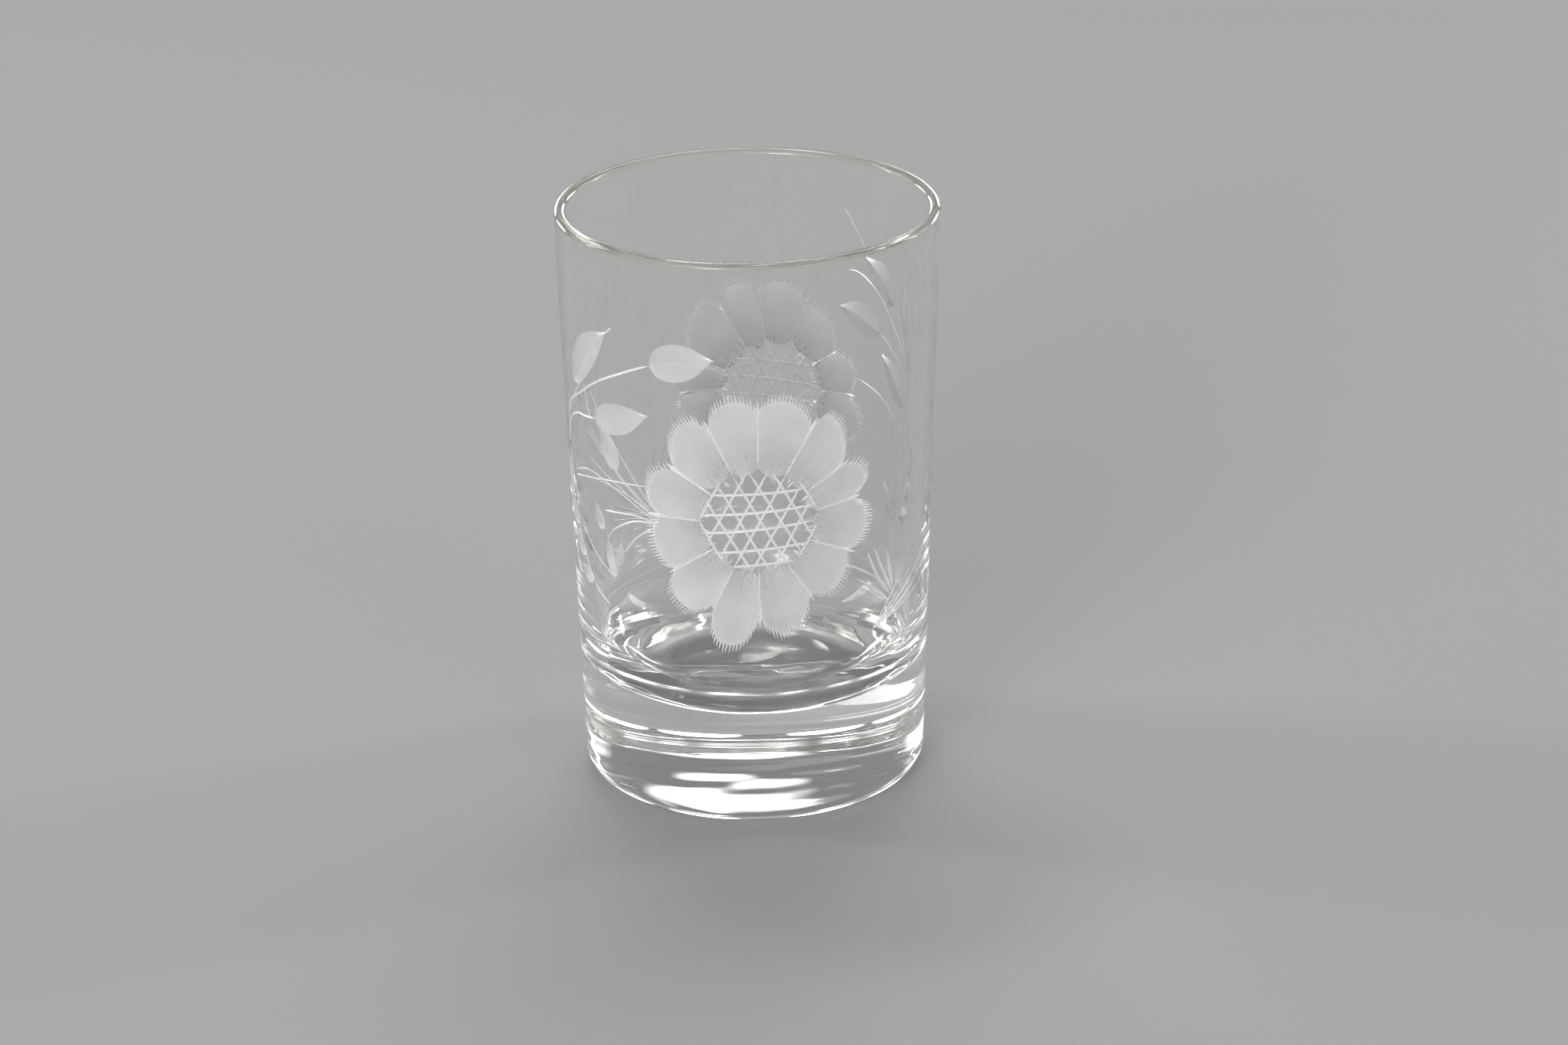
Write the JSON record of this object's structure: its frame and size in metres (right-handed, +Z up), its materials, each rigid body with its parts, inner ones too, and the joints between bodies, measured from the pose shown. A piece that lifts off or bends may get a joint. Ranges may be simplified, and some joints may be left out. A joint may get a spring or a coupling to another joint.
{
  "type": "engraved shot glass",
  "caption": "Heavy-based clear shot glass with a slightly flared wall, rounded rim and frosted wheel-engraved sunflowers with leaf sprays on opposite sides.",
  "frame": {"origin": "centre of the foot, on the surface the glass stands on", "axes": "+Z up along the glass's own axis; -Y points out of the middle of the front sunflower; +X to its right when it is seen from outside"},
  "size_m": [0.0446, 0.0446, 0.07],
  "materials": {
    "clear_glass": "fire-polished clear soda-lime glass with a faint warm green tint; engraved petals and leaves are matt white frost, and the engraved lines are fine frosted grooves"
  },
  "bodies": {
    "root": {"engraved_glass": "clear_glass"}
  },
  "joints": []
}
